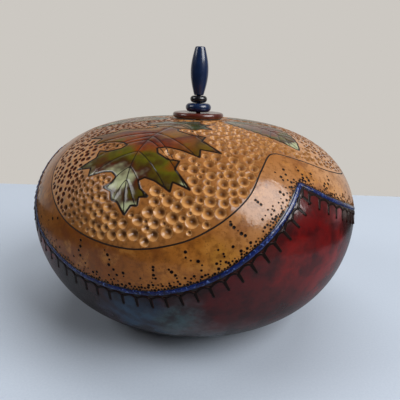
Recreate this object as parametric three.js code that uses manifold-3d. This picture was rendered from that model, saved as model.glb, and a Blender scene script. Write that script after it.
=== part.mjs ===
// Lidded gourd bowl, in millimetres, +Z up.
// The origin is the centre of the flat foot, and the front faces -Y.
// A hard gourd shell is sawn along a wavy line into a bowl and a lid. The lid drops onto a
// bevelled edge and lifts straight up. Its knob is a turned disc and three beads on a long
// screw, which comes up through the lid from a washer inside.

import * as THREE from 'three';
import { mergeVertices } from 'three/addons/utils/BufferGeometryUtils.js';
import Module from 'manifold-3d';

const wasm = await Module();
wasm.setup();

// Gourd shell: the outside is two flattened domes that meet at the widest line
const equatorRadius = 105;
const equatorHeight = 70.4;
const crownRise = 57.8;
const crownFullness = 3.05;
const bellyFullness = 3.0;
const footRadius = 38;
const shellWall = 6;

// Saw cut: how far it lies below the crown, as a share of the depth of its waves, at bearings
// counted from the front, positive towards +X
const seamDepth = 50;
const seamStations = [
  { bearing: -160, share: 0.624 },
  { bearing: -132, share: 0.404 },
  { bearing: -104, share: 0.224 },
  { bearing: -80, share: 0.194 },
  { bearing: -67, share: 0.284 },
  { bearing: -58, share: 0.524 },
  { bearing: -49.5, share: 0.724 },
  { bearing: -36, share: 0.944 },
  { bearing: -18, share: 1.03 },
  { bearing: -4, share: 0.934 },
  { bearing: 5.6, share: 0.774 },
  { bearing: 14.7, share: 0.562 },
  { bearing: 22, share: 0.352 },
  { bearing: 31, share: 0.23 },
  { bearing: 42, share: 0.296 },
  { bearing: 57, share: 0.456 },
  { bearing: 74, share: 0.548 },
  { bearing: 100, share: 0.404 },
  { bearing: 122, share: 0.324 },
  { bearing: 146, share: 0.504 },
  { bearing: 172, share: 0.684 },
];
// The saw blade always points at this height on the axis, so the cut slopes down inwards
const cutApexHeight = 16;
const lidSeatDrop = 0.45;

// Knob, from the lid upwards
const restGap = 0.3;
const discRadius = 16.7;
const discThickness = 3.6;
const baseBeadRadius = 8.35;
const baseBeadHeight = 5.5;
const baseBeadFlatRadius = 5.6;
const spacerBeadRadius = 5.55;
const spacerBeadHeight = 4.5;
const spacerBeadFlatRadius = 3.3;
const barrelRadius = 5.7;
const barrelEndRadius = 3.2;
const barrelHeight = 29.6;

// Long screw through the knob, with its washer inside the lid
const screwRadius = 1.5;
const screwClearance = 0.3;
const screwTipDepth = 4;
const screwHeadRadius = 3;
const screwHeadHeight = 2.2;
const screwHeadFaceRadius = 2.1;
const screwHeadRounding = 1;
const washerRadius = 6;
const washerThickness = 1;

// Fineness of the round faces
const outsideSides = 72;
const outsideCrownRings = 11;
const outsideBellyRings = 9;
const hollowSides = 48;
const hollowCrownRings = 7;
const hollowBellyRings = 6;
const seamSteps = 108;
const beadSides = 28;
const discSides = 48;
const edgeSteps = 8;
const barrelSteps = 12;
const pinSides = 18;

// Shell formulas

// Height of a flattened dome at a share of its radius, as a share of its rise
function domeHeightShare(radiusShare, fullness) {
  return Math.sqrt(1 - radiusShare ** fullness);
}

// Radius of the same dome at a share of its rise, as a share of its radius
function domeRadiusShare(heightShare, fullness) {
  return (1 - heightShare ** 2) ** (1 / fullness);
}

// How far the belly would reach below the widest line if the foot weren't flat
const bellyDrop = equatorHeight / domeHeightShare(footRadius / equatorRadius, bellyFullness);
const crownHeight = equatorHeight + crownRise;

// Points of a dome's outline from its widest line to where it is cut or closed
function domeOutline(radius, rise, fullness, stopShare, rings) {
  const points = [];
  for (let ring = 0; ring <= rings; ring += 1) {
    const heightShare = Math.sin(Math.asin(stopShare) * ring / rings);
    points.push({ r: radius * domeRadiusShare(heightShare, fullness), rise: rise * heightShare });
  }
  return points;
}

// Whole outline of the gourd, or of its hollow, from the foot's centre to the crown's centre.
// The crown's middle is a nearly flat face, as wide as the knob's disc.
function gourdOutline(inset, bellyRings, crownRings) {
  const radius = equatorRadius - inset;
  const floor = equatorHeight - inset;
  const drop = bellyDrop - inset;
  const rise = crownRise - inset;
  const belly = domeOutline(radius, drop, bellyFullness, floor / drop, bellyRings);
  const crown = domeOutline(radius, rise, crownFullness, 1, crownRings);
  const crownSide = crown.slice(1).filter((point) => point.r > discRadius);
  crownSide.push({ r: discRadius, rise: rise * domeHeightShare(discRadius / radius, crownFullness) });
  return [
    new THREE.Vector2(0, inset),
    ...belly.reverse().map((point) => new THREE.Vector2(point.r, equatorHeight - point.rise)),
    ...crownSide.map((point) => new THREE.Vector2(point.r, equatorHeight + point.rise)),
    new THREE.Vector2(0, equatorHeight + rise),
  ];
}

// Smooth drop of the saw cut below the crown at a bearing, through the stations on either side
function seamDrop(bearing) {
  const count = seamStations.length;
  const station = (index) => {
    const turn = Math.floor(index / count);
    const { bearing: at, share } = seamStations[index - turn * count];
    return { at: at + 360 * turn, drop: seamDepth * share };
  };
  const wrapped = bearing - 360 * Math.floor((bearing - seamStations[0].bearing) / 360);
  let left = count - 1;
  while (station(left).at > wrapped) {
    left -= 1;
  }
  const [before, start, end, after] = [-1, 0, 1, 2].map((step) => station(left + step));
  const span = end.at - start.at;
  const startSlope = (end.drop - before.drop) / (end.at - before.at);
  const endSlope = (after.drop - start.drop) / (after.at - start.at);
  const t = (wrapped - start.at) / span;
  return start.drop * (1 + 2 * t) * (1 - t) ** 2
    + end.drop * (3 - 2 * t) * t ** 2
    + span * startSlope * t * (1 - t) ** 2
    - span * endSlope * (1 - t) * t ** 2;
}

// Point of the saw cut on the outside of the gourd
function seamPoint(bearing) {
  const height = crownHeight - seamDrop(bearing);
  const share = (height - equatorHeight) / crownRise;
  const radius = equatorRadius * domeRadiusShare(share, crownFullness);
  const angle = THREE.MathUtils.degToRad(bearing);
  return new THREE.Vector3(radius * Math.sin(angle), -radius * Math.cos(angle), height);
}

// Solids

// Revolve an outline of radius and height about the vertical axis
function revolve(outline, sides) {
  return new THREE.LatheGeometry(outline, sides).rotateX(Math.PI / 2);
}

// Closed mesh with shared vertices, for joining and cutting
function solidOf(geometry) {
  const bare = new THREE.BufferGeometry();
  bare.setAttribute('position', geometry.getAttribute('position'));
  bare.setIndex(geometry.getIndex());
  const merged = mergeVertices(bare);
  const corners = merged.getIndex().array;
  const triangles = [];
  for (let first = 0; first < corners.length; first += 3) {
    const [a, b, c] = corners.slice(first, first + 3);
    if (a !== b && b !== c && c !== a) {
      triangles.push(a, b, c);
    }
  }
  const vertProperties = Float32Array.from(merged.getAttribute('position').array);
  const triVerts = Uint32Array.from(triangles);
  return new wasm.Manifold(new wasm.Mesh({ numProp: 3, vertProperties, triVerts }));
}

function geometryOf(solid) {
  const mesh = solid.getMesh();
  const geometry = new THREE.BufferGeometry();
  geometry.setAttribute('position', new THREE.BufferAttribute(mesh.vertProperties, 3));
  geometry.setIndex(new THREE.BufferAttribute(mesh.triVerts, 1));
  geometry.computeVertexNormals();
  return geometry;
}

// Everything inside the saw cut: rays from the apex through the seam, closed high above the
// crown, and moved up or down to leave the lid's seating gap
function insideTheCut(lift) {
  const apex = new THREE.Vector3(0, 0, cutApexHeight);
  const reach = 1.5;
  const positions = [];
  for (let step = 0; step < seamSteps; step += 1) {
    const ray = seamPoint(360 * step / seamSteps).sub(apex).multiplyScalar(reach);
    positions.push(...ray.add(apex).toArray());
  }
  positions.push(...apex.toArray(), 0, 0, 2 * crownHeight);
  const apexIndex = seamSteps;
  const topIndex = seamSteps + 1;
  const triangles = [];
  for (let step = 0; step < seamSteps; step += 1) {
    const next = (step + 1) % seamSteps;
    triangles.push(apexIndex, next, step, topIndex, step, next);
  }
  const geometry = new THREE.BufferGeometry();
  geometry.setAttribute('position', new THREE.Float32BufferAttribute(positions, 3));
  geometry.setIndex(triangles);
  return solidOf(geometry.translate(0, 0, lift));
}

// Bead or disc of a given height with a bore: its flat ends run out to a radius and a round
// side swells from there
function beadOutline(bore, flatRadius, fullRadius, height) {
  const outline = [new THREE.Vector2(bore, 0)];
  for (let step = 0; step <= edgeSteps; step += 1) {
    const angle = Math.PI * (step / edgeSteps - 0.5);
    const swell = (fullRadius - flatRadius) * Math.cos(angle);
    outline.push(new THREE.Vector2(flatRadius + swell, height / 2 * (1 + Math.sin(angle))));
  }
  outline.push(new THREE.Vector2(bore, height), new THREE.Vector2(bore, 0));
  return outline;
}

// Spindle-shaped barrel bead with a bore from end to end
function barrelOutline(bore) {
  const outline = [new THREE.Vector2(bore, 0)];
  for (let step = 0; step <= barrelSteps; step += 1) {
    const share = step / barrelSteps;
    const swell = (barrelRadius - barrelEndRadius) * Math.sin(Math.PI * share);
    outline.push(new THREE.Vector2(barrelEndRadius + swell, barrelHeight * share));
  }
  outline.push(new THREE.Vector2(bore, barrelHeight), new THREE.Vector2(bore, 0));
  return outline;
}

// Heights of the stack, each piece a small gap above the one that carries it
const discHeight = crownHeight + restGap;
const baseBeadAt = discHeight + discThickness + restGap;
const spacerBeadAt = baseBeadAt + baseBeadHeight + restGap;
const barrelAt = spacerBeadAt + spacerBeadHeight + restGap;
const screwTip = barrelAt + barrelHeight - screwTipDepth;
const washerAt = crownHeight - shellWall - restGap - washerThickness;
const screwHeadAt = washerAt - restGap - screwHeadHeight;
const boreRadius = screwRadius + screwClearance;

// Screw with its pan head down
const screwOutline = [
  new THREE.Vector2(0, 0),
  new THREE.Vector2(screwHeadFaceRadius, 0),
  new THREE.Vector2(screwHeadRadius, screwHeadRounding),
  new THREE.Vector2(screwHeadRadius, screwHeadHeight),
  new THREE.Vector2(screwRadius, screwHeadHeight),
  new THREE.Vector2(screwRadius, screwTip - screwHeadAt),
  new THREE.Vector2(0, screwTip - screwHeadAt),
];

const washerOutline = [
  new THREE.Vector2(boreRadius, 0),
  new THREE.Vector2(washerRadius, 0),
  new THREE.Vector2(washerRadius, washerThickness),
  new THREE.Vector2(boreRadius, washerThickness),
  new THREE.Vector2(boreRadius, 0),
];

// Shell, its screw hole, and the two pieces that the saw makes of it
const outsideOutline = gourdOutline(0, outsideBellyRings, outsideCrownRings);
const hollowOutline = gourdOutline(shellWall, hollowBellyRings, hollowCrownRings);
const gourd = solidOf(revolve(outsideOutline, outsideSides));
const hollow = solidOf(revolve(hollowOutline, hollowSides));
const shell = gourd.subtract(hollow);
const screwHole = solidOf(revolve([
  new THREE.Vector2(0, crownHeight - 2 * shellWall),
  new THREE.Vector2(boreRadius, crownHeight - 2 * shellWall),
  new THREE.Vector2(boreRadius, crownHeight + shellWall),
  new THREE.Vector2(0, crownHeight + shellWall),
], pinSides));
const lidShell = shell.intersect(insideTheCut(lidSeatDrop / 2)).subtract(screwHole);
const bowlShell = shell.subtract(insideTheCut(-lidSeatDrop / 2));

// Finishes
const dyedShell = new THREE.MeshStandardMaterial({ color: 0x6e2326, roughness: 0.2, metalness: 0 });
const carvedShell = new THREE.MeshStandardMaterial({ color: 0xb07a42, roughness: 0.3, metalness: 0 });
const redBrownWood = new THREE.MeshStandardMaterial({ color: 0x6b2a1c, roughness: 0.2, metalness: 0 });
const navyGloss = new THREE.MeshStandardMaterial({ color: 0x16244f, roughness: 0.12, metalness: 0 });
const blackGloss = new THREE.MeshStandardMaterial({ color: 0x0b0b10, roughness: 0.08, metalness: 0 });
const brass = new THREE.MeshStandardMaterial({ color: 0xb08d4a, roughness: 0.35, metalness: 1 });

function piece(name, geometry, material, height) {
  const mesh = new THREE.Mesh(geometry, material);
  mesh.name = name;
  mesh.position.z = height;
  return mesh;
}

const baseBeadShape = beadOutline(boreRadius, baseBeadFlatRadius, baseBeadRadius, baseBeadHeight);
const spacerShape = beadOutline(boreRadius, spacerBeadFlatRadius, spacerBeadRadius, spacerBeadHeight);
const discShape = beadOutline(boreRadius, discRadius - discThickness / 2, discRadius, discThickness);

const knob = new THREE.Group();
knob.add(
  piece('knob_disc', revolve(discShape, discSides), redBrownWood, discHeight),
  piece('base_bead', revolve(baseBeadShape, beadSides), navyGloss, baseBeadAt),
  piece('spacer_bead', revolve(spacerShape, beadSides), blackGloss, spacerBeadAt),
  piece('barrel_bead', revolve(barrelOutline(boreRadius), beadSides), navyGloss, barrelAt),
  piece('knob_screw', revolve(screwOutline, pinSides), brass, screwHeadAt),
  piece('knob_washer', revolve(washerOutline, beadSides), brass, washerAt),
);

const lid = new THREE.Group();
lid.add(piece('gourd_lid', geometryOf(lidShell), carvedShell, 0), knob);

const gourdBowl = new THREE.Group();
gourdBowl.add(piece('gourd_bowl', geometryOf(bowlShell), dyedShell, 0), lid);

export default gourdBowl;
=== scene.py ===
import math

import bpy
import numpy as np
from mathutils import Matrix, Vector
from mathutils.geometry import delaunay_2d_cdt
from mathutils.kdtree import KDTree


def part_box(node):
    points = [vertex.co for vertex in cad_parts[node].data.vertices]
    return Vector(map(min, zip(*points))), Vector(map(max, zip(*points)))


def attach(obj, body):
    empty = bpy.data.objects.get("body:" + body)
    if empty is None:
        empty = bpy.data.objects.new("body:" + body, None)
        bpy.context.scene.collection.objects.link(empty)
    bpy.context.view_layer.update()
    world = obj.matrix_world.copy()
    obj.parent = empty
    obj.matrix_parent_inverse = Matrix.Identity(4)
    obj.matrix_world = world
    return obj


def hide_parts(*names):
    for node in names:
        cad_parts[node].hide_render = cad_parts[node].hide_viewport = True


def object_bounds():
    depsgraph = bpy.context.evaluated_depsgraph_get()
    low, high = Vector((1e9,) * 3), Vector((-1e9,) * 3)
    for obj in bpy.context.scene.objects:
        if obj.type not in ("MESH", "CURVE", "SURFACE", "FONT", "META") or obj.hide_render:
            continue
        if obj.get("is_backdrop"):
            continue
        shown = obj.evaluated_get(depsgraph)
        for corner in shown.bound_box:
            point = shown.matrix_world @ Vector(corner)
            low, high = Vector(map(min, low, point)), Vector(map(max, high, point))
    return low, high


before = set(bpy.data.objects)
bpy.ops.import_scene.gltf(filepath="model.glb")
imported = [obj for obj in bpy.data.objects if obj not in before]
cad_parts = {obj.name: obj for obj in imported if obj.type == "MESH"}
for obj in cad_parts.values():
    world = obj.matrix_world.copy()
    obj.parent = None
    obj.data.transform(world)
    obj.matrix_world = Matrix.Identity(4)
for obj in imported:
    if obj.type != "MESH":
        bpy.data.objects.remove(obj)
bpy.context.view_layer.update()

mm = 0.001


# Camera: held close to the bowl, a little above the foot of its knob, tipped down and
# rolled slightly, so the near side looms and upright lines lean to the right.
camera_place = Vector((0.0, -0.2699, 0.1517))
camera_yaw = math.radians(0.70)
camera_pitch = math.radians(16.53)
camera_roll = math.radians(2.1)


def placed(name, data):
    """New object in the scene."""
    made = bpy.data.objects.new(name, data)
    bpy.context.collection.objects.link(made)
    return made


camera_data = bpy.data.cameras.new("camera")
camera_data.sensor_fit = 'HORIZONTAL'
camera_data.sensor_width = 36.0
camera_data.lens = 36.0
camera_data.clip_start = 0.01
camera_data.dof.use_dof = False
camera = placed("camera", camera_data)
bpy.context.scene.camera = camera
camera_hold = Matrix.Translation(camera_place)
for angle, axis in ((-camera_yaw, 'Z'), (math.pi / 2 - camera_pitch, 'X'), (camera_roll, 'Z')):
    camera_hold = camera_hold @ Matrix.Rotation(angle, 4, axis)
camera.matrix_world = camera_hold


# Table and room: a pale blue-grey table top with its far edge behind the bowl, in a pale
# room with two windows. They aren't part of the bowl.
table_far_edge = 292 * mm
table_reach = 2.2
table_thickness = 30 * mm
table_mirrored = 0.33
lit_reach = 250 * mm
lit_fade = 30 * mm
room_fill = 0.115
room_dark = 0.03
room_pale = 0.8


def srgb(red, green, blue):
    """Colour of 0 to 255 as the numbers that a shader takes."""
    shares = [channel / 255 for channel in (red, green, blue)]
    return (*[s / 12.92 if s <= 0.04045 else ((s + 0.055) / 1.055) ** 2.4 for s in shares], 1.0)


def fill(socket, value):
    """Links a socket to another one, or sets its value. A colour is given as 0 to 255."""
    if isinstance(value, bpy.types.NodeSocket):
        socket.id_data.links.new(value, socket)
    else:
        socket.default_value = srgb(*value) if socket.type == 'RGBA' else value


def add(tree, kind, inputs=None, wanted=0, **settings):
    """New node of a tree with its settings, and its inputs by name or number. It gives back
    the output that is wanted."""
    made = tree.nodes.new(kind)
    for name, value in settings.items():
        setattr(made, name, value)
    for name, value in (inputs or {}).items():
        fill(made.inputs[name], value)
    return made.outputs[wanted]


def finish(name, values):
    """New material and its tree, with its shader's inputs set by name."""
    material = bpy.data.materials.new(name)
    material.use_nodes = True
    for socket, value in values.items():
        material.node_tree.nodes["Principled BSDF"].inputs[socket].default_value = value
    return material, material.node_tree


def dress(tree, colour, relief=None, coat_relief=None):
    """Links a finish's colour, and the reliefs of its ground and of its varnish."""
    shader = tree.nodes["Principled BSDF"]
    for name, value in (('Base Color', colour), ('Normal', relief), ('Coat Normal', coat_relief)):
        if value is not None:
            fill(shader.inputs[name], value)


def blend(factor, below, above, mode='MIX'):
    """Colour that goes from one to the other with the factor."""
    return add(factor.id_data, 'ShaderNodeMix', {0: factor, 6: below, 7: above}, 2,
               data_type='RGBA', blend_type=mode)


def maths(operation, first, second=0.0):
    return add(first.id_data, 'ShaderNodeMath', {0: first, 1: second}, operation=operation)


def vector_maths(operation, first, second, wanted='Vector'):
    return add(first.id_data, 'ShaderNodeVectorMath', {0: first, 1: second}, wanted,
               operation=operation)


def rising(value, low, high, top=1.0, bottom=0.0, kind='SMOOTHSTEP'):
    """The bottom at the low value, the top at the high one, and smooth between."""
    return add(value.id_data, 'ShaderNodeMapRange', {
        'Value': value, 'From Min': low, 'From Max': high, 'To Min': bottom, 'To Max': top},
        interpolation_type=kind)


def own_space(tree):
    """Place in the piece's own space."""
    return add(tree, 'ShaderNodeTexCoord', wanted='Object')


def clouds(tree, size, detail=3.0, roughness=0.55, stretch=(1, 1, 1), seed=0.0, warp=0.0):
    """Cloudy value of 0 to 1 in the piece's own space, with clouds of a size in mm."""
    moved = add(tree, 'ShaderNodeMapping', {
        'Vector': own_space(tree), 'Scale': stretch,
        'Location': (seed, 0.7 * seed, 1.3 * seed)})
    return add(tree, 'ShaderNodeTexNoise', {
        'Vector': moved, 'Scale': 1 / (size * mm), 'Detail': detail, 'Roughness': roughness,
        'Distortion': warp})


def new_piece(name, points, faces=(), edges=(), fields=None):
    """New piece of points and faces, with numbers or directions kept at its points."""
    mesh = bpy.data.meshes.new(name)
    mesh.from_pydata(np.asarray(points, float).tolist(), edges, faces)
    for label, values in (fields or {}).items():
        values = np.asarray(values, np.float32)
        kind, slot = ('FLOAT_VECTOR', 'vector') if values.ndim > 1 else ('FLOAT', 'value')
        mesh.attributes.new(label, kind, 'POINT').data.foreach_set(slot, values.ravel())
    return placed(name, mesh)


table_corners = [
    (x, y, z)
    for z in (-table_thickness, 0.0)
    for x, y in ((-table_reach, -table_reach), (table_reach, -table_reach),
                 (table_reach, table_far_edge), (-table_reach, table_far_edge))
]
table_sides = [(4, 5, 6, 7), (3, 2, 1, 0), (0, 1, 5, 4), (1, 2, 6, 5), (2, 3, 7, 6), (3, 0, 4, 7)]
table_paint, tree = finish("table_paint", {'Roughness': 0.5, 'Specular IOR Level': 0.3})
# Painted shade: in mirrored rays the table keeps a third of its brightness near the bowl and goes
# to black beyond 250 mm towards the front and both sides
across, along, _ = add(tree, 'ShaderNodeSeparateXYZ', {0: own_space(tree)}).node.outputs
painted_mirror_shade = maths('MAXIMUM', rising(maths('ABSOLUTE', across), lit_reach, lit_reach + lit_fade),
              rising(along, -lit_reach, -lit_reach - lit_fade))
mirrored = maths('MULTIPLY', add(tree, 'ShaderNodeLightPath', wanted='Is Glossy Ray'),
                 rising(painted_mirror_shade, 0.0, 1.0, 1.0, 1 - table_mirrored, 'LINEAR'))
shade = blend(clouds(tree, 1.2, detail=2.0), (178, 189, 204), (194, 203, 215))
dress(tree, blend(mirrored, shade, (0, 0, 0)))
table_top = new_piece("table_top", table_corners, table_sides)
table_top.data.materials.append(table_paint)
table_top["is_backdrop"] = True

# The varnish mirrors a room that is pale low down behind the bowl and dark elsewhere, with
# the two windows in it. The table is painted darker in mirrored rays, a painted shade that is
# deepest towards the front and both sides
room = bpy.data.worlds.new("room")
bpy.context.scene.world = room
room.use_nodes = True
tree = room.node_tree
room_air = tree.nodes["Background"].inputs
facing = vector_maths('DOT_PRODUCT', add(tree, 'ShaderNodeTexCoord', wanted='Generated'),
                      (0.0, 1.0, -0.6), 'Value')
mirrored = rising(facing, -0.05, 0.85, room_pale, room_dark, 'LINEAR')
ray = add(tree, 'ShaderNodeLightPath').node.outputs
mirroring = maths('MAXIMUM', ray['Is Glossy Ray'], ray['Is Transmission Ray'])
strength = add(tree, 'ShaderNodeMix', {0: mirroring, 2: room_fill, 3: mirrored})
strength = add(tree, 'ShaderNodeMix', {0: ray['Is Camera Ray'], 2: strength, 3: 1.0})
fill(room_air['Color'], (204, 200, 194))
fill(room_air['Strength'], strength)


def pointing(bearing):
    """Level directions at bearings from the front."""
    angle = np.radians(bearing)
    return np.stack([np.sin(angle), -np.cos(angle)], -1)


lamp_target = Vector((0.0, 0.0, 80 * mm))
lamps = [
    # name, bearing from the front, elevation, distance, width, height, brightness
    ("window_right", 59.0, 41.0, 2.6, 1.80, 1.74, 7.5),
    ("window_left", -80.0, 37.0, 2.0, 0.72, 0.72, 5.0),
    ("ceiling", 170.0, 72.0, 1.6, 1.60, 1.14, 2.7),
]
for name, bearing, elevation, distance, width, height, brightness in lamps:
    lamp_data = bpy.data.lights.new(name, 'AREA')
    lamp_data.shape = 'RECTANGLE'
    lamp_data.size = width
    lamp_data.size_y = height
    lamp_data.energy = brightness * math.pi * width * height
    lamp = placed(name, lamp_data)
    aside, near = pointing(bearing) * math.cos(math.radians(elevation))
    towards = Vector((aside, near, math.sin(math.radians(elevation))))
    lamp.location = lamp_target + distance * towards
    lamp.rotation_euler = towards.to_track_quat('Z', 'Y').to_euler()
    lamp.visible_glossy = name != "ceiling"

bpy.context.scene.view_settings.view_transform = 'Standard'


# Lower gourd shell: the hard rind of a dried gourd, sawn along a wavy line and scraped
# hollow. A zone under the saw cut is left golden, and the belly below the burnt and painted
# border is dyed in patches. All of the outside is varnished.
equator_radius = 105 * mm
equator_height = 70.4 * mm
crown_rise = 57.8 * mm
crown_fullness = 3.05
belly_fullness = 3.0
foot_radius = 38 * mm
shell_wall = 6 * mm
crown_height = equator_height + crown_rise
belly_drop = equator_height / math.sqrt(1 - (foot_radius / equator_radius) ** belly_fullness)

# Saw cut: how far it lies below the crown, as a share of the depth of its waves, at
# bearings counted from the front, positive towards +X
seam_depth = 50 * mm
seam_stations = [
    (-160, 0.624), (-132, 0.404), (-104, 0.224), (-80, 0.194), (-67, 0.284), (-58, 0.524),
    (-49.5, 0.724), (-36, 0.944), (-18, 1.03), (-4, 0.934), (5.6, 0.774), (14.7, 0.562),
    (22, 0.352), (31, 0.23), (42, 0.296), (57, 0.456), (74, 0.548), (100, 0.404),
    (122, 0.324), (146, 0.504), (172, 0.684),
]
cut_apex = np.array([0.0, 0.0, 16 * mm])
lid_seat_drop = 0.45 * mm
lip_rounding = 0.3 * mm
# Width of the band along the lip, on the outside, that is painted near-black
lip_dark_band = 0.2 * mm
rim_steps = 720
search_steps = 40
swag_steps = 400
rim_bearings = np.arange(rim_steps) * 360 / rim_steps
bowl_step = 2.5 * mm
bowl_clear = 1.2 * mm
rim_clear = 0.004
hollow_step = 5 * mm
trace_step = 0.25 * mm
path_step = 1.2 * mm
crease_angle = math.radians(50)

# Border: swags of (bearing, height in mm), which meet in upward points
border_swags = [
    [(-80, 108), (-75, 100.5), (-70, 92.5), (-65.3, 84.5), (-60, 76.8), (-55, 70), (-45, 63),
     (-35.6, 57.4), (-27, 55), (-19.6, 54.1), (-13, 54.3), (-8.3, 55.8), (-2, 59.1),
     (3.7, 63.4), (9.4, 69.2), (16.9, 79.1), (23.8, 89), (31.1, 99.5), (34.7, 104)],
    [(34.7, 104), (39.6, 100.1), (46.1, 94.7), (55.4, 88.4), (66.4, 81.8), (78, 77.5),
     (90, 77), (102, 82), (112, 90.5), (122, 101)],
    [(122, 101), (129, 90.5), (138, 79), (150, 69.5), (165, 63), (180, 60.5), (195, 61),
     (210, 64.5), (225, 70), (240, 77.5), (255, 87), (268, 97.5), (280, 108)],
]
groove_offset = 1.75 * mm
groove_depth = 0.14 * mm
groove_reach = 0.5 * mm
border_offsets = [-3.4, -2.3, -1.75, -1.2, 0, 1.2, 1.75, 2.3, 3.4]


def through(stations, at):
    """Smooth curve through (place, value) stations at the places asked for."""
    x, y = np.array(stations, float).T
    slope = np.gradient(y, x, edge_order=1)
    slope[1:-1] = (y[2:] - y[:-2]) / (x[2:] - x[:-2])
    left = np.clip(np.searchsorted(x, at, side='right') - 1, 0, len(x) - 2)
    span = x[left + 1] - x[left]
    t = (at - x[left]) / span
    return (y[left] * (1 + 2 * t) * (1 - t) ** 2 + y[left + 1] * (3 - 2 * t) * t ** 2
            + span * slope[left] * t * (1 - t) ** 2 - span * slope[left + 1] * (1 - t) * t ** 2)


def seam_height(bearing):
    """Height of the saw cut on the outside of the gourd."""
    around = [(at + turn, share) for turn in (-360, 0, 360) for at, share in seam_stations]
    wrapped = (np.asarray(bearing, float) + 180) % 360 - 180
    return crown_height - seam_depth * through(around, wrapped)


class Skin:
    """A surface of the shell, at an inset from its outside, with a flat map of it.

    The map is centred on the foot or the crown and keeps every angle, so that a round mark
    on the map is a round mark on the gourd.
    """

    steps = 1400
    centre_radius = 0.3 * mm

    def __init__(self, inset, centre):
        radius = equator_radius - inset
        rise = crown_rise - inset
        drop = belly_drop - inset
        floor_share = (equator_height - inset) / drop
        floor_radius = radius * (1 - floor_share ** 2) ** (1 / belly_fullness)
        floor = np.linspace(self.centre_radius, floor_radius, 60, endpoint=False)
        start = math.asin(floor_radius / radius)
        end = math.asin(self.centre_radius / radius)
        belly = np.sin(np.linspace(start, math.pi / 2, self.steps, endpoint=False))
        crown = np.sin(np.linspace(math.pi / 2, end, self.steps))
        self.radius = np.concatenate([floor, radius * belly, radius * crown])
        self.height = np.concatenate([
            np.full(len(floor), inset),
            equator_height - drop * np.sqrt(1 - belly ** belly_fullness),
            equator_height + rise * np.sqrt(1 - crown ** crown_fullness),
        ])
        slope = np.stack([np.gradient(self.radius), np.gradient(self.height)])
        slope /= np.hypot(*slope)
        self.normal = np.stack([slope[1], -slope[0]])
        steps = np.hypot(np.diff(self.radius), np.diff(self.height))
        stretch = steps * (1 / self.radius[1:] + 1 / self.radius[:-1]) / 2
        self.way = np.concatenate([[0], np.cumsum(stretch)])
        self.arc = np.concatenate([[0], np.cumsum(steps)])
        self.order = slice(None)
        if centre == 'crown':
            self.way = self.way[-1] - self.way
            self.arc = self.arc[-1] - self.arc
            self.order = slice(None, None, -1)
        self.way += math.log(self.centre_radius)
        self.arc += self.centre_radius

    def place(self, bearing, way):
        """Points of the map at bearings and at distances from its centre, as logarithms."""
        return pointing(bearing) * np.exp(way)[..., None]

    def at_height(self, bearing, height):
        return self.place(bearing, np.interp(height, self.height, self.way))

    def at_arc(self, bearing, arc):
        return self.place(bearing, np.interp(arc, self.arc[self.order], self.way[self.order]))

    def read(self, size, column):
        """A column's value at distances from the map's centre."""
        way = np.log(np.maximum(size, self.centre_radius))
        return np.interp(way, self.way[self.order], column[self.order])

    def scale(self, flat):
        """How much larger the map is than the shell there."""
        size = np.maximum(np.hypot(flat[..., 0], flat[..., 1]), self.centre_radius)
        return size / self.read(size, self.radius)

    def space(self, flat, depth=0.0):
        """Points of the shell under points of the map, at a depth, and the normals there."""
        size = np.maximum(np.hypot(flat[:, 0], flat[:, 1]), 1e-9)
        radius = np.where(size < self.centre_radius, size, self.read(size, self.radius))
        x, y = (flat / size[:, None]).T
        across, up = (self.read(size, column) for column in self.normal)
        normals = np.stack([across * x, across * y, up], -1)
        points = np.stack([radius * x, radius * y, self.read(size, self.height)], -1)
        return points - np.reshape(depth, (-1, 1)) * normals, normals


def bearing_of(flat):
    return np.degrees(np.arctan2(flat[..., 0], -flat[..., 1]))


def sideways(line, closed=False):
    """Unit directions square to a line of the map, to the right of its way."""
    along = np.roll(line, -1, 0) - np.roll(line, 1, 0) if closed else np.gradient(line, axis=0)
    along = along / np.linalg.norm(along, axis=1)[:, None]
    return np.stack([along[:, 1], -along[:, 0]], -1)


def beside(skin, line, offset):
    """A line of the map moved sideways by a real distance, to the right of its way."""
    return line + sideways(line) * offset * skin.scale(line)[:, None]


def spaced(skin, line, step):
    """Points at even real steps along an open line of the map, with its ends."""
    place, _ = skin.space(line)
    length = np.concatenate([[0], np.cumsum(np.linalg.norm(np.diff(place, axis=0), axis=1))])
    wanted = np.linspace(0, length[-1], max(2, int(round(length[-1] / step)) + 1))
    return np.stack([np.interp(wanted, length, line[:, k]) for k in (0, 1)], -1)


def staggered(skin, step):
    """Points in staggered rings round the map's centre."""
    rings = []
    for index, arc in enumerate(np.arange(step * 0.6, skin.arc.max(), step * 0.87)):
        radius = np.interp(arc, skin.arc[skin.order], skin.radius[skin.order])
        count = max(6, int(2 * math.pi * radius / step))
        bearings = (np.arange(count) + index % 2 / 2) * 360 / count
        rings.append(skin.at_arc(bearings, np.full(count, arc)))
    return np.concatenate(rings)


def tree_of(points):
    """Search tree of points of the map."""
    tree = KDTree(len(points))
    for index, (x, y) in enumerate(points):
        tree.insert((x, y, 0), index)
    tree.balance()
    return tree


def nearest(points, others):
    """For points of the map, the distance to the nearest of the others."""
    tree = tree_of(others)
    return np.array([tree.find((x, y, 0))[2] for x, y in points])


def clear_of(skin, points, others, gap):
    """The points that lie further than a real gap from all the others."""
    return points[nearest(points, others) > gap * skin.scale(points)]


def rim_gap(points, loop):
    """Share by which points of the map lie nearer its centre than a loop round it."""
    order = np.argsort(bearing_of(loop))
    size = np.hypot(*loop[order].T)
    reach = np.interp(bearing_of(points), bearing_of(loop)[order], size, period=360)
    return 1 - np.hypot(*points.T) / reach


def filling(skin, step, loop, inside, bare, marks, gap):
    """Staggered points of the map that lie inside a loop by a share, and are clear of its
    middle and of the marks."""
    points = staggered(skin, step)
    points = points[(rim_gap(points, loop) > inside) & (np.hypot(*points.T) > bare)]
    return clear_of(skin, points, marks, gap)


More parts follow.
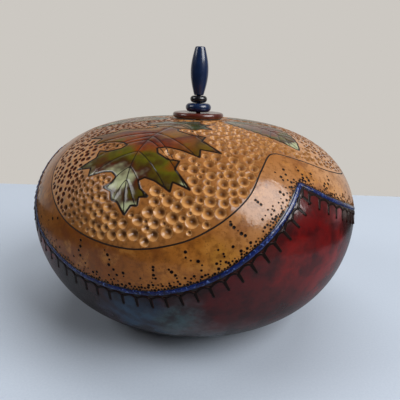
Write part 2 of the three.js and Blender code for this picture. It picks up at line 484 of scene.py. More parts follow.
def turning(flat, faces):
    """Twice the area of triangles of map points, below 0 where they run clockwise."""
    first, second, third = (flat[faces[:, k]] for k in range(3))
    side = second - first
    other = third - first
    return side[:, 0] * other[:, 1] - side[:, 1] * other[:, 0]


def triangles(flat, loops):
    """Delaunay triangles of map points as rows of three, counter-clockwise. The first
    points are closed loops of those lengths: the rim, and a hole if there is a second."""
    edges = []
    start = 0
    for count in loops:
        edges += [(start + k, start + (k + 1) % count) for k in range(count)]
        start += count
    corners = [Vector(point) for point in flat.tolist()]
    made = delaunay_2d_cdt(corners, edges, [], 0, 1e-9, True)
    source = np.array([origin[0] if origin else 0 for origin in made[3]])
    faces = source[np.array(made[2])]
    middle = sum(flat[faces[:, k]] for k in range(3)) / 3
    clockwise = turning(flat, faces) < 0
    faces[clockwise] = faces[clockwise][:, ::-1]
    in_order = np.sort(faces, axis=1)
    kept = np.where(in_order[:, 2] < loops[0], turning(flat, in_order) > 0,
                    rim_gap(middle, flat[:loops[0]]) > 0)
    if len(loops) > 1:
        kept &= rim_gap(middle, flat[loops[0]:loops[0] + loops[1]]) < 0
    return faces[kept]


def sawn_edge(skin, hollow, side):
    """Loops of the sawn edge: the lip and the end of its near-black band on the map, the loops
    from it down the sawn face, and the edge of the hollow on its map. The side is 1 above the cut
    and -1 below it."""
    seam = skin.at_height(rim_bearings, seam_height(rim_bearings))
    inwards = sideways(seam, closed=True)
    inwards *= -np.sign(np.sum(inwards * seam, axis=1))[:, None]
    step = inwards * skin.scale(seam)[:, None] * lip_rounding
    lip = seam + step
    scorched = seam + step * (1 + lip_dark_band / lip_rounding)
    shoulder, _ = skin.space(seam + 0.35 * step, 0.35 * lip_rounding)
    cut, _ = skin.space(seam)
    ray = cut_apex - cut
    ray /= np.linalg.norm(ray, axis=1)[:, None]
    start = cut + np.array([0, 0, side * lid_seat_drop / 2])
    near = np.zeros(rim_steps)
    far = np.full(rim_steps, 3 * shell_wall)
    for _ in range(search_steps):
        middle = (near + far) / 2
        spot = start + ray * middle[:, None]
        share = np.clip(np.hypot(spot[:, 0], spot[:, 1]) / (equator_radius - shell_wall), 0, 1)
        dome = (crown_rise - shell_wall) * np.sqrt(1 - share ** crown_fullness)
        outside = spot[:, 2] - equator_height > dome
        near = np.where(outside, middle, near)
        far = np.where(outside, far, middle)
    ways = [lip_rounding + (far - lip_rounding) * share for share in (0, 0.35, 0.7, 1)]
    loops = [start + ray * way[:, None] for way in ways]
    hollow_edge = hollow.at_height(rim_bearings, loops[-1][:, 2])
    return lip, scorched, [shoulder, *loops], hollow_edge


def shell_piece(name, skin, hollow, flat, depth, fields, edge, side, hole=0):
    """Closed shell: its carved skin, whose first map points are the lip and the hole, its
    sawn edge and its hollow. The fields are numbers kept at the skin's points."""
    _, _, loops, hollow_edge = edge
    ends = [rim_steps] + [hole] * (hole > 0)
    spread = filling(hollow, hollow_step, hollow_edge, 0, 3 * mm, hollow_edge,
                     0.4 * hollow_step)
    hollow_flat = np.concatenate([hollow_edge, flat[rim_steps:rim_steps + hole], spread])
    points = np.concatenate([
        skin.space(flat, depth)[0], *loops[:-1], hollow.space(hollow_flat)[0]])
    around = np.arange(rim_steps)
    onward = (around + 1) % rim_steps
    starts = [0, *(len(flat) + rim_steps * k for k in range(len(loops)))]
    edge_faces = [
        np.stack([above + onward, above + around, below + around, below + onward], -1)
        for above, below in zip(starts, starts[1:])
    ]
    wall = rim_steps + np.arange(hole)
    next_wall = rim_steps + (np.arange(hole) + 1) % max(hole, 1)
    hole_faces = np.stack([wall, next_wall, starts[-1] + next_wall, starts[-1] + wall], -1)
    groups = [triangles(flat, ends), np.concatenate([*edge_faces, hole_faces]),
              starts[-1] + triangles(hollow_flat, ends)[:, ::-1]]
    if side < 0:
        groups = [group[:, ::-1] for group in groups]
    kept = {label: np.pad(values, (0, len(points) - len(flat)))
            for label, values in fields.items()}
    kept['lip'] = np.zeros(len(points))
    kept['lip'][:rim_steps] = 1
    kept['lip'][len(flat):len(flat) + 2 * rim_steps] = 1
    piece = new_piece(name, points, [face for group in groups for face in group.tolist()],
                      fields=kept)
    finishes = np.repeat(np.arange(3), [len(group) for group in groups])
    piece.data.polygons.foreach_set('material_index', finishes.astype(np.int32))
    piece.data.shade_smooth()
    piece.data.set_sharp_from_angle(angle=crease_angle)
    return piece


belly_skin = Skin(0.0, 'foot')
belly_hollow = Skin(shell_wall, 'foot')
bowl_edge = sawn_edge(belly_skin, belly_hollow, -1)
border_bearings = []
border_lines = []
for swag in border_swags:
    bearings = np.linspace(swag[0][0], swag[-1][0], swag_steps)
    border_bearings.append(bearings)
    border_lines.append(belly_skin.at_height(bearings, through(swag, bearings) * mm))
border_trace = np.concatenate([spaced(belly_skin, line, trace_step) for line in border_lines])


def from_border(flat):
    """Signed distance from the middle of the border's band, positive above it."""
    far = nearest(flat, border_trace)
    size = np.hypot(*np.concatenate(border_lines).T)
    first = border_bearings[0][0]
    wrapped = (bearing_of(flat) - first) % 360 + first
    above = np.hypot(*flat.T) > np.interp(wrapped, np.concatenate(border_bearings), size)
    return np.where(above, far, -far) / belly_skin.scale(flat)


border_rows = np.concatenate([
    beside(belly_skin, spaced(belly_skin, line, 1.1 * mm), offset * mm)
    for line in border_lines
    for offset in border_offsets
])
bowl_marks = np.concatenate([bowl_edge[1], border_rows])
bowl_spread = filling(belly_skin, bowl_step, bowl_edge[1], rim_clear, 0, bowl_marks, bowl_clear)
bowl_flat = np.concatenate([bowl_edge[0], bowl_marks, bowl_spread])
bowl_band = from_border(bowl_flat)
groove = 1 - np.abs(np.abs(bowl_band) - groove_offset) / groove_reach
bowl_shell = shell_piece(
    "bowl_shell", belly_skin, belly_hollow, bowl_flat, groove_depth * np.clip(groove, 0, 1),
    {'band': bowl_band / mm}, bowl_edge, -1)


def field(tree, name):
    """A number kept on the mesh."""
    return add(tree, 'ShaderNodeAttribute', wanted='Fac', attribute_name=name)


def ramp(value, stops):
    """Colour looked up in a list of (position, colour)."""
    looked_up = add(value.id_data, 'ShaderNodeValToRGB', {'Fac': value})
    elements = looked_up.node.color_ramp.elements
    while len(elements) < len(stops):
        elements.new(1.0)
    for element, (position, colour) in zip(elements, stops):
        element.position = position
        element.color = srgb(*colour)
    return looked_up


def bumped(relief, height, strength=1.0):
    """Normal for a relief that is a height in mm high."""
    return add(relief.id_data, 'ShaderNodeBump', {
        'Height': relief, 'Distance': height * mm, 'Strength': strength})


def wandering(tree):
    """The piece's own space with a cloudy shift, which gives patches ragged edges."""
    reach = 34 * mm
    place = own_space(tree)
    cloud = add(tree, 'ShaderNodeTexNoise', {
        'Vector': place, 'Scale': 40.0, 'Detail': 4.0, 'Roughness': 0.65}, 'Color')
    shift = vector_maths('SUBTRACT', cloud, (0.5, 0.5, 0.5))
    shift = vector_maths('MULTIPLY', shift, (reach, reach, reach))
    return vector_maths('ADD', place, shift)


def patched(place, ground, patches):
    """Colour of the ground with soft patches of other colours on it."""
    for bearing, height, reach, colour in patches:
        spot, _ = belly_skin.space(
            belly_skin.at_height(np.array([bearing]), np.array([height * mm])))
        away = vector_maths('DISTANCE', place, tuple(spot[0]), 'Value')
        ground = blend(rising(away, reach * mm, reach * mm * 0.3), ground, colour)
    return ground


def mottled(ground, mottles):
    """Colour of the ground with cloudy marks on it, one kind after the other."""
    for size, detail, seed, start, full, share, colour in mottles:
        cloud = clouds(ground.id_data, size, detail, seed=seed)
        ground = blend(rising(cloud, start, full, share), ground, colour)
    return ground


varnish = {
    'Roughness': 0.45, 'Specular IOR Level': 0.08, 'Coat Weight': 1.0, 'Coat Roughness': 0.17,
    'Coat IOR': 1.45,
}
char_black = (24, 15, 12)
lip_black = (10, 5, 4)

# Patches of dye and of paler rind: bearing, height and reach in mm, colour. The grey dye patch at
# the foot is a painted reflection of the table, and the pink one under the band at bearing 48,
# with the two paler rind patches near the peak, are painted sheen of the right window
dye_and_reflection_patches = [
    (-78, 62, 44, (96, 42, 48)), (-54, 58, 24, (124, 44, 36)), (-38, 44, 30, (30, 14, 10)),
    (-17, 49, 26, (8, 14, 36)), (-17, 32, 28, (44, 70, 94)), (-5, 37, 18, (60, 80, 84)),
    (-2, 55, 14, (34, 8, 6)), (22, 80, 18, (66, 12, 10)), (34, 74, 30, (92, 2, 3)),
    (48, 92, 16, (124, 58, 64)), (62, 78, 14, (22, 12, 12)), (27, 66, 16, (104, 6, 3)),
    (48, 56, 32, (124, 18, 16)), (60, 80, 22, (34, 10, 8)), (3, 10, 44, (108, 116, 120)),
    (90, 52, 40, (56, 58, 42)), (122, 62, 40, (112, 14, 14)), (152, 42, 40, (46, 74, 86)),
    (190, 46, 42, (92, 20, 26)), (226, 38, 42, (50, 62, 92)), (256, 66, 38, (84, 26, 32)),
]
rind_and_sheen_patches = [
    (24, 98, 46, (162, 110, 64)), (56, 102, 30, (184, 134, 90)), (-30, 70, 40, (128, 68, 8)),
    (-62, 84, 14, (92, 46, 26)), (8, 72, 18, (160, 106, 34)), (100, 96, 60, (170, 116, 60)),
    (230, 96, 60, (176, 124, 66)),
]
rind_mottles = [
    # size in mm, detail, seed, where the marks start and are full, share, colour
    (12, 3, 31, 0.5, 0.68, 0.5, (98, 44, 12)), (9, 4, 37, 0.52, 0.7, 0.5, (186, 124, 52)),
    (3, 4, 7, 0.45, 0.7, 0.6, (104, 58, 14)), (0.8, 1, 12, 0.6, 0.72, 0.5, (84, 48, 18)),
]

dyed_varnish, tree = finish("dyed_varnish", varnish)
band = field(tree, 'band')
wander = wandering(tree)
# Dye patches, among them a painted reflection of the table at the foot and a painted sheen under
# the band right of the peak
dye_and_sheen = patched(wander, (74, 8, 9), dye_and_reflection_patches)
deep = clouds(tree, 7, detail=5.0, roughness=0.65)
dye_and_sheen = blend(rising(deep, 0.4, 0.75, 0.6), dye_and_sheen, (26, 8, 10))
dye_and_sheen = mottled(dye_and_sheen, [(14, 4, 21, 0.46, 0.62, 0.65, (36, 3, 6))])
worn = clouds(tree, 6, detail=5.0, seed=4.0)
dye_and_sheen = blend(rising(worn, 0.45, 0.7, 0.5), dye_and_sheen, (200, 120, 110), 'SOFT_LIGHT')
pale = clouds(tree, 16, detail=5.0, roughness=0.6, seed=2.0)
gold_and_sheen = blend(rising(pale, 0.3, 0.7), (136, 78, 18), (164, 100, 34))
# Paler rind patches; the two near the peak, at bearings 24 and 56, are painted sheen of the right
# window
gold_and_sheen = mottled(patched(wander, gold_and_sheen, rind_and_sheen_patches), rind_mottles)
colour = blend(rising(band, -0.6, 0.6), dye_and_sheen, gold_and_sheen)
smoke = maths('MULTIPLY', clouds(tree, 3.2, seed=9.0), 4.0)
smudge = rising(maths('ADD', band, smoke), -1.4, -0.2)
smudge = maths('MULTIPLY', smudge, rising(band, 0.0, -1.0, 0.65))
colour = blend(smudge, colour, char_black)
ragged = clouds(tree, 1.6, detail=3.0, seed=1.0)
ragged = maths('MULTIPLY', maths('SUBTRACT', ragged, 0.5), 0.9)
edge = maths('ADD', maths('ABSOLUTE', band), ragged)
colour = blend(rising(edge, 2.2, 1.7), colour, char_black)
colour = blend(rising(field(tree, 'lip'), 0.3, 0.8), colour, lip_black)
pools = clouds(tree, 16, detail=4.0, roughness=0.6, seed=3.0)
dress(tree, colour, bumped(clouds(tree, 1.1), 0.05, 0.5), bumped(pools, 0.9, 0.5))

sawn_rind, tree = finish("sawn_rind", {'Roughness': 0.62})
grain = clouds(tree, 0.9, detail=4.0, stretch=(1, 1, 0.4))
sawn = blend(grain, (74, 46, 26), (150, 108, 66))
sawn = blend(rising(field(tree, 'lip'), 0.1, 0.6), sawn, (22, 10, 8))
dress(tree, sawn, bumped(grain, 0.15))

scraped_inside, tree = finish("scraped_inside", {'Roughness': 0.7})
grain = clouds(tree, 9, detail=6.0, roughness=0.7)
scratch = clouds(tree, 0.8, detail=3.0, stretch=(1, 1, 0.2), seed=5.0)
shade = blend(grain, (120, 88, 56), (176, 140, 98))
shade = blend(rising(scratch, 0.55, 0.75, 0.4), shade, (88, 60, 38))
dress(tree, shade, bumped(scratch, 0.2, 0.6))

for material in (dyed_varnish, sawn_rind, scraped_inside):
    bowl_shell.data.materials.append(material)
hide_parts("gourd_bowl")
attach(bowl_shell, "bowl")


# Blue band: a thick line of dark blue enamel paint between two burnt grooves, which runs
# round the gourd in swags. It was laid with a loaded brush, so it stands up like a cord.
band_half_width = 1.2 * mm
band_half_height = 0.42 * mm
band_sunk = 0.02 * mm


def new_tree(name, sizes):
    """Empty geometry tree with named inputs, given as name: kind of socket."""
    tree = bpy.data.node_groups.new(name, 'GeometryNodeTree')
    tree.interface.new_socket("Geometry", in_out='INPUT', socket_type='NodeSocketGeometry')
    for label, kind in sizes.items():
        tree.interface.new_socket(label, in_out='INPUT', socket_type='NodeSocket' + kind)
    tree.interface.new_socket("Geometry", in_out='OUTPUT', socket_type='NodeSocketGeometry')
    return tree, tree.nodes.new('NodeGroupInput').outputs


def close_tree(tree, geometry, material):
    """Ends a geometry tree with real instances that have their material."""
    whole = add(tree, 'GeometryNodeRealizeInstances', {'Geometry': geometry})
    coated = add(tree, 'GeometryNodeSetMaterial', {'Geometry': whole, 'Material': material})
    fill(tree.nodes.new('NodeGroupOutput').inputs['Geometry'], coated)


def kept_at_points(tree, name, kind):
    """A number or a direction kept at the points, for a geometry tree."""
    return add(tree, 'GeometryNodeInputNamedAttribute', {'Name': name}, 'Attribute',
               data_type=kind)


def grow(piece, tree, values):
    """Runs a geometry tree on an object and keeps the result as its plain mesh."""
    modifier = piece.modifiers.new("growth", 'NODES')
    modifier.node_group = tree
    for socket in tree.interface.items_tree:
        if socket.in_out == 'INPUT' and socket.name in values:
            modifier[socket.identifier] = values[socket.name]
    shape = bpy.data.meshes.new_from_object(
        piece.evaluated_get(bpy.context.evaluated_depsgraph_get()))
    piece.modifiers.remove(modifier)
    piece.data = shape
    shape.name = piece.name


def chained(lines):
    """All points of several open lines, and the edges along them."""
    starts = np.cumsum([0] + [len(line) for line in lines])
    edges = [(int(start) + k, int(start) + k + 1)
             for start, line in zip(starts, lines) for k in range(len(line) - 1)]
    return np.concatenate(lines), edges


blue_enamel, tree = finish("blue_enamel", {
    'Roughness': 0.35, 'Specular IOR Level': 0.2, 'Coat Weight': 0.8, 'Coat Roughness': 0.12})
thick = clouds(tree, 12, detail=3.0, seed=5.0)
brushed = clouds(tree, 2.2, detail=3.0)
blue = blend(rising(thick, 0.35, 0.65), (6, 11, 62), (6, 30, 88))
blue = blend(rising(brushed, 0.45, 0.7, 0.6), blue, (18, 42, 108))
blue = mottled(blue, [
    (1.1, 1, 8, 0.6, 0.7, 0.6, (104, 132, 196)), (1.6, 2, 18, 0.5, 0.64, 0.75, (6, 8, 26))])
dress(tree, blue, bumped(brushed, 0.25, 0.6), bumped(brushed, 0.4, 0.7))

tree, given = new_tree("painted_band", {
    'Half Width': 'Float', 'Flatness': 'Float', 'Paint': 'Material'})
curve = add(tree, 'GeometryNodeMeshToCurve', {'Mesh': given['Geometry']})
curve = add(tree, 'GeometryNodeSetCurveNormal', {
    'Curve': curve, 'Normal': kept_at_points(tree, "outwards", 'FLOAT_VECTOR')}, mode='FREE')
section = add(tree, 'GeometryNodeCurvePrimitiveCircle',
              {'Resolution': 12, 'Radius': given['Half Width']})
squash = add(tree, 'ShaderNodeCombineXYZ', {'X': given['Flatness'], 'Y': 1.0, 'Z': 1.0})
section = add(tree, 'GeometryNodeTransform', {'Geometry': section, 'Scale': squash})
swept = add(tree, 'GeometryNodeCurveToMesh', {
    'Curve': curve, 'Profile Curve': section, 'Fill Caps': True})
close_tree(tree, swept, given['Paint'])

band_flat, band_edges = chained([spaced(belly_skin, line, path_step) for line in border_lines])
band_points, band_normals = belly_skin.space(band_flat, band_sunk)
blue_band = new_piece("blue_band", band_points, edges=band_edges,
                      fields={'outwards': band_normals})
grow(blue_band, tree, {
    'Half Width': band_half_width, 'Flatness': band_half_height / band_half_width,
    'Paint': blue_enamel})
blue_band.data.shade_smooth()
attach(blue_band, "bowl")


# Burnt dots: small pits, each pressed into the rind with the tip of a hot pen, which leaves
# a black middle and a raised, scorched lip. They crowd along the top of the blue band and
# climb from it in short chains.
dot_radius = 0.7 * mm
dot_rows = [
    # distance above the band's middle, spacing, share of the places that are filled
    (2.3, 1.6, 0.97), (3.6, 1.8, 0.85), (5.0, 2.1, 0.55), (6.7, 2.6, 0.32), (8.9, 3.2, 0.18),
]
dot_chains = [
    # (bearing, height in mm) from the top down
    [(-31.6, 75.8), (-31.7, 72.7), (-32.4, 70.3), (-31.9, 67.8), (-31.1, 66.1), (-30.3, 64.3),
     (-30.3, 62)],
    [(-23.5, 74.1), (-22.6, 72.1), (-22.1, 69.8), (-22.3, 67.1), (-21, 65), (-20.1, 62.4)],
    [(-18.2, 64.2), (-18.3, 62.4)],
    [(-10, 69.6), (-10, 68.1), (-9.9, 65.5), (-9.4, 63.8)],
    [(-6, 69.1), (-5.3, 68), (-4.3, 66.4), (-3.9, 63.9)],
    [(-2.1, 83.3), (-2, 80.7), (-2, 78), (-1.9, 75.4), (-.6, 74.1), (1.2, 73.9), (2.2, 72),
     (2.1, 69.4)],
    [(9.3, 92.3), (9.3, 91.1), (9.4, 90), (10.2, 88.8), (11.2, 87.4), (12.1, 86.1),
     (13.1, 85.1), (14, 82.6)],
    [(6.1, 79.2), (7.4, 78.2), (7.7, 76.1), (7.2, 74.6)],
    [(17.1, 99.5), (17.7, 98.7), (18.5, 97.6), (20.3, 95.2), (21.6, 95.3)],
    [(37.7, 110.8), (37.5, 109.4), (38.1, 107.6)],
    [(42.5, 107.2), (42, 106.1), (40, 104.5)],
    [(51.5, 104.3), (50.8, 102.7), (48.9, 101.3)],
    [(-47.4, 78.8), (-45.1, 80.7), (-42.4, 82.2)],
    [(27.1, 109.8), (31.2, 110.5), (28.5, 107.8), (28.7, 106.5), (29.8, 106)],
]
unseen_chains = 26
unseen_bearings = (66, 272)
chain_growth = 1.1
dot_gap = 1.2 * mm
dot_shake = 0.22 * mm
chance = np.random.default_rng(11)

dots = []
for line in border_lines:
    for offset, spacing, filled in dot_rows:
        row = beside(belly_skin, spaced(belly_skin, line, spacing * mm), offset * mm)
        row = row[chance.random(len(row)) < filled]
        shake = chance.normal(0, dot_shake, row.shape) * belly_skin.scale(row)[:, None]
        dots.append(row + shake)
in_rows = sum(len(row) for row in dots)
for chain in dot_chains:
    bearings, heights = np.array(chain).T
    dots.append(belly_skin.at_height(bearings, heights * mm))
for bearing in chance.uniform(*unseen_bearings, unseen_chains):
    swag = next(swag for swag in border_swags if swag[0][0] <= bearing <= swag[-1][0])
    climb = np.cumsum(chance.uniform(1.6, 2.4, chance.integers(3, 9)))
    sway = np.cumsum(chance.normal(0, 0.45, len(climb)))
    dots.append(belly_skin.at_height(
        bearing + sway, (through(swag, np.array([bearing])) + 6 + climb) * mm))
dots = np.concatenate(dots)
dot_growth = np.where(np.arange(len(dots)) < in_rows, 1.0, chain_growth)
clear = rim_gap(dots, bowl_edge[0]) > 0.02
dots = dots[clear]
order = [0]
for index in range(1, len(dots)):
    gaps = np.hypot(*(dots[order] - dots[index]).T)
    if gaps.min() > dot_gap * belly_skin.scale(dots[index]):
        order.append(index)
dot_growth = dot_growth[clear][order]

scorched, tree = finish("scorched_dot", {**varnish, 'Coat Weight': 0.12})
dress(tree, ramp(field(tree, 'burn'), [
    (0.0, (140, 86, 34)), (0.2, (140, 88, 40)), (0.4, (26, 12, 8)), (1.0, (10, 6, 5))]),
    bumped(clouds(tree, 0.5), 0.05, 0.5))


def turned(section, sides):
    """Points and faces of a shape turned about the upright axis from a closed section of
    (radius, height). A section that starts and ends on the axis is solid."""
    solid = section[0][0] == 0
    profile = section[1:-1] if solid else section
    angles = 2 * math.pi * np.arange(sides) / sides
    points = [(radius * math.cos(angle), radius * math.sin(angle), height)
              for angle in angles for radius, height in profile]
    count = len(profile)
    faces = [
        (turn * count + k, (turn + 1) % sides * count + k,
         (turn + 1) % sides * count + (k + 1) % count, turn * count + (k + 1) % count)
        for turn in range(sides) for k in range(count - solid)
    ]
    if solid:
        points += [(0, 0, section[0][1]), (0, 0, section[-1][1])]
        bottom, top = sides * count, sides * count + 1
        for turn in range(sides):
            onward = (turn + 1) % sides
            faces.append((bottom, onward * count, turn * count))
            faces.append((top, turn * count + count - 1, onward * count + count - 1))
    return points, faces


# Section of one pit in radii, from under the rind over its lip to its middle, and how far
# each place is burnt
pit_section = [(0.0, -0.30), (1.30, -0.30), (1.18, 0.03), (1.0, 0.12), (0.84, 0.05), (0.0, 0.03)]
pit_burn = [0.0, 0.1, 0.35, 0.75]
pit_sides = 8
one_pit = new_piece("one_pit", *turned(pit_section, pit_sides),
                    fields={'burn': pit_burn * pit_sides + [0.0, 1.0]})
one_pit.data.shade_smooth()


def set_on_points(tree, points, piece, rotation, size=(1.0, 1.0, 1.0)):
    """A small piece at each point of a geometry tree."""
    shape = add(tree, 'GeometryNodeObjectInfo', {'Object': piece}, 'Geometry')
    return add(tree, 'GeometryNodeInstanceOnPoints', {
        'Points': points, 'Instance': shape, 'Rotation': rotation, 'Scale': size})


tree, given = new_tree("dots_on_rind", {
    'Pit': 'Object', 'Radius': 'Float', 'Smallest': 'Float', 'Largest': 'Float', 'Seed': 'Int',
    'Scorch': 'Material'})
upright = add(tree, 'FunctionNodeAlignRotationToVector',
              {'Vector': kept_at_points(tree, "outwards", 'FLOAT_VECTOR')}, axis='Z')
share = add(tree, 'FunctionNodeRandomValue', {
    2: given['Smallest'], 3: given['Largest'], 'Seed': given['Seed']}, 1, data_type='FLOAT')
grown = maths('MULTIPLY', share, kept_at_points(tree, "growth", 'FLOAT'))
grown = maths('MULTIPLY', grown, given['Radius'])
pits = set_on_points(tree, given['Geometry'], given['Pit'], upright, grown)
close_tree(tree, pits, given['Scorch'])

dot_points, dot_normals = belly_skin.space(dots[order])
burnt_dots = new_piece("burnt_dots", dot_points,
                       fields={'outwards': dot_normals, 'growth': dot_growth})
grow(burnt_dots, tree, {
    'Pit': one_pit, 'Radius': dot_radius, 'Smallest': 0.5, 'Largest': 1.2, 'Seed': 3,
    'Scorch': scorched})
bpy.data.objects.remove(one_pit)
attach(burnt_dots, "bowl")


# Burnt stitches: a row like blanket stitch, drawn with the hot pen below the blue band.
# Each stitch is a tapered tick, and a scallop that runs from its top to the next tick.
stitch_spacing = 7.3 * mm
stitch_offset = 3.3 * mm
stitch_margin = 5
tick_rise = 0.8 * mm
tick_length = 6.9 * mm
tick_half_width = 0.92 * mm
arc_half_width = 0.5 * mm
arc_rise = 1.5 * mm
stroke_lip = 0.1 * mm
stroke_root = 0.3 * mm

# Section of a stroke as (across, up), in half widths and in heights of its lip and root
stroke_section = [(-1.3, -0.4), (-1.15, 0.3), (-0.75, 1.0), (0.0, 0.45), (0.75, 1.0),
                  (1.15, 0.3), (1.3, -0.4), (0.0, -1.0)]


def burnt_stroke(path, widths):
    """Points and faces of one closed stroke along a flat path, with two low lips."""
    points = [
        (*(spot + right * across * width), up * (stroke_lip if up > 0 else stroke_root))
        for spot, right, width in zip(path, sideways(path), widths)
        for across, up in stroke_section
    ]
    count = len(stroke_section)
    last = count * (len(path) - 1)
    faces = [
        (low + k, low + (k + 1) % count, low + count + (k + 1) % count, low + count + k)
        for low in range(0, last, count) for k in range(count)
    ]
    return points, faces + [tuple(range(count))[::-1], tuple(range(last, last + count))]


steps = np.linspace(0, 1, 7)
tick_path = np.stack([0 * steps, tick_rise - tick_length * steps], -1)
tick_points, tick_faces = burnt_stroke(tick_path, tick_half_width * (1 - 0.5 * steps))
steps = np.linspace(0, 1, 11)
arc_path = np.stack([
    stitch_spacing * steps,
    arc_rise * np.sin(math.pi * steps ** 1.3) - 0.4 * mm * (1 - steps),
], -1)
arc_points, arc_faces = burnt_stroke(arc_path, arc_half_width * (1 + 0.2 * np.sin(4 * steps)))
stroke_burn = [abs(across) < 1 for across, _ in stroke_section]
one_stitch = new_piece(
    "one_stitch", tick_points + arc_points,
    tick_faces + [tuple(k + len(tick_points) for k in face) for face in arc_faces],
    fields={'burn': stroke_burn * (len(tick_path) + len(arc_path))})
one_stitch.data.shade_smooth()

charred, tree = finish("charred_stroke", {**varnish, 'Coat Weight': 0.2})
char = blend(clouds(tree, 1.3, detail=3.0), (6, 4, 4), (30, 14, 10))
char = blend(rising(field(tree, 'burn'), 0.1, 0.6), (52, 26, 20), char)
dress(tree, char, bumped(clouds(tree, 0.6), 0.08, 0.6))

tree, given = new_tree("stitches_on_rind", {
    'Stitch': 'Object', 'Spacing': 'Float', 'Char': 'Material'})
curve = add(tree, 'GeometryNodeMeshToCurve', {'Mesh': given['Geometry']})
curve = add(tree, 'GeometryNodeResampleCurve', {
    'Curve': curve, 'Length': given['Spacing']}, mode='LENGTH')
upright = add(tree, 'FunctionNodeAxesToRotation', {
    'Primary Axis': kept_at_points(tree, "outwards", 'FLOAT_VECTOR'),
    'Secondary Axis': add(tree, 'GeometryNodeInputTangent')},
    primary_axis='Z', secondary_axis='X')
close_tree(tree, set_on_points(tree, curve, given['Stitch'], upright), given['Char'])

stitch_flat, stitch_edges = chained([
    beside(belly_skin, spaced(belly_skin, line, path_step)[stitch_margin:-stitch_margin],
           -stitch_offset)
    for line in border_lines])
stitch_points, stitch_normals = belly_skin.space(stitch_flat)
burnt_stitches = new_piece("burnt_stitches", stitch_points, edges=stitch_edges,
                           fields={'outwards': stitch_normals})
grow(burnt_stitches, tree, {
    'Stitch': one_stitch, 'Spacing': stitch_spacing, 'Char': charred})
bpy.data.objects.remove(one_stitch)
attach(burnt_stitches, "bowl")


# Gourd lid: the top of the same gourd, lifted off along the saw cut. Its rind is carved all
# over with a round burr into dimples, round six leaves that are drawn with the hot pen and
# tinted with dyes. It is varnished like the bowl.
hole_radius = 1.8 * mm
hole_sides = 24
line_half_width = 0.6 * mm
line_depth = 0.32 * mm
line_spread = 1.9
vein_half_width = 0.34 * mm
vein_depth = 0.6 * line_depth

# How close together the points of the lid's mesh lie, on its lines, dimples and between
lid_step = 1.9 * mm
lid_clear = 0.85 * mm
line_mark_step = 1.0 * mm
line_mark_gap = 0.33 * mm
pit_mark_gap = 0.2 * mm
pit_mark_clear = 0.35 * mm

# Leaves, in mm on the lid laid flat round its middle: stem's start, tip, width, kind, bend
leaves = [
    ((2, -20), (-37, -107), 82, 'lobed', 0.10),
    ((18, -14), (58, -50), 30, 'oval', -0.10),
    ((-19, -7), (-66, -15), 26, 'oval', 0.08),
    ((20, 8), (62, 22), 30, 'oval', 0.10),
    ((5, 21), (14, 82), 42, 'lobed', -0.08),
    ((-16, 15), (-60, 44), 32, 'oval', -0.08),
]
lobed_side = [
    (0.0, 0.03), (0.06, 0.07), (0.11, 0.22), (0.12, 0.36), (0.16, 0.34), (0.21, 0.54),
    (0.225, 0.40), (0.27, 0.38), (0.265, 0.24), (0.29, 0.15), (0.33, 0.21), (0.36, 0.44),
    (0.35, 0.64), (0.41, 0.66), (0.47, 1.0), (0.495, 0.74), (0.56, 0.80), (0.545, 0.54),
    (0.545, 0.33), (0.57, 0.22), (0.61, 0.27), (0.64, 0.44), (0.63, 0.59), (0.69, 0.58),
    (0.77, 0.84), (0.765, 0.60), (0.82, 0.60), (0.79, 0.38), (0.785, 0.24), (0.81, 0.16),
    (0.85, 0.20), (0.88, 0.33), (0.895, 0.20), (0.94, 0.19), (0.945, 0.10), (1.0, 0.0),
]
lobed_veins = [
    (0.07, 0.205, 0.48), (0.17, 0.265, 0.32), (0.20, 0.355, 0.56), (0.27, 0.465, 0.93),
    (0.40, 0.55, 0.72), (0.45, 0.635, 0.52), (0.50, 0.765, 0.77), (0.62, 0.81, 0.54),
    (0.74, 0.88, 0.27), (0.82, 0.935, 0.15),
]
oval_teeth = 11


def leaf_side(kind):
    """Half of a leaf's outline as (along, across), from its base to its tip."""
    if kind == 'lobed':
        return np.array(lobed_side)
    along = np.linspace(0, 1, 12 * oval_teeth + 1)
    body = np.sin(math.pi * along ** 0.85) ** 0.8
    tooth = (along * oval_teeth) % 1
    return np.stack([along, np.maximum(body * (0.90 + 0.13 * tooth), 0.02 * (1 - along))], -1)


def leaf_veins(kind):
    """Veins of one half of a leaf as lists of (along, across)."""
    if kind == 'lobed':
        ends = lobed_veins
    else:
        ends = [(k / 9, k / 9 + 0.13, 0.86 * math.sin(math.pi * (k / 9 + 0.13) ** 0.85) ** 0.8)
                for k in range(1, 8)]
    bow = np.linspace(0, 1, 12)
    return [np.stack([start + (end - start) * bow ** 1.25, reach * bow], -1)
            for start, end, reach in ends]


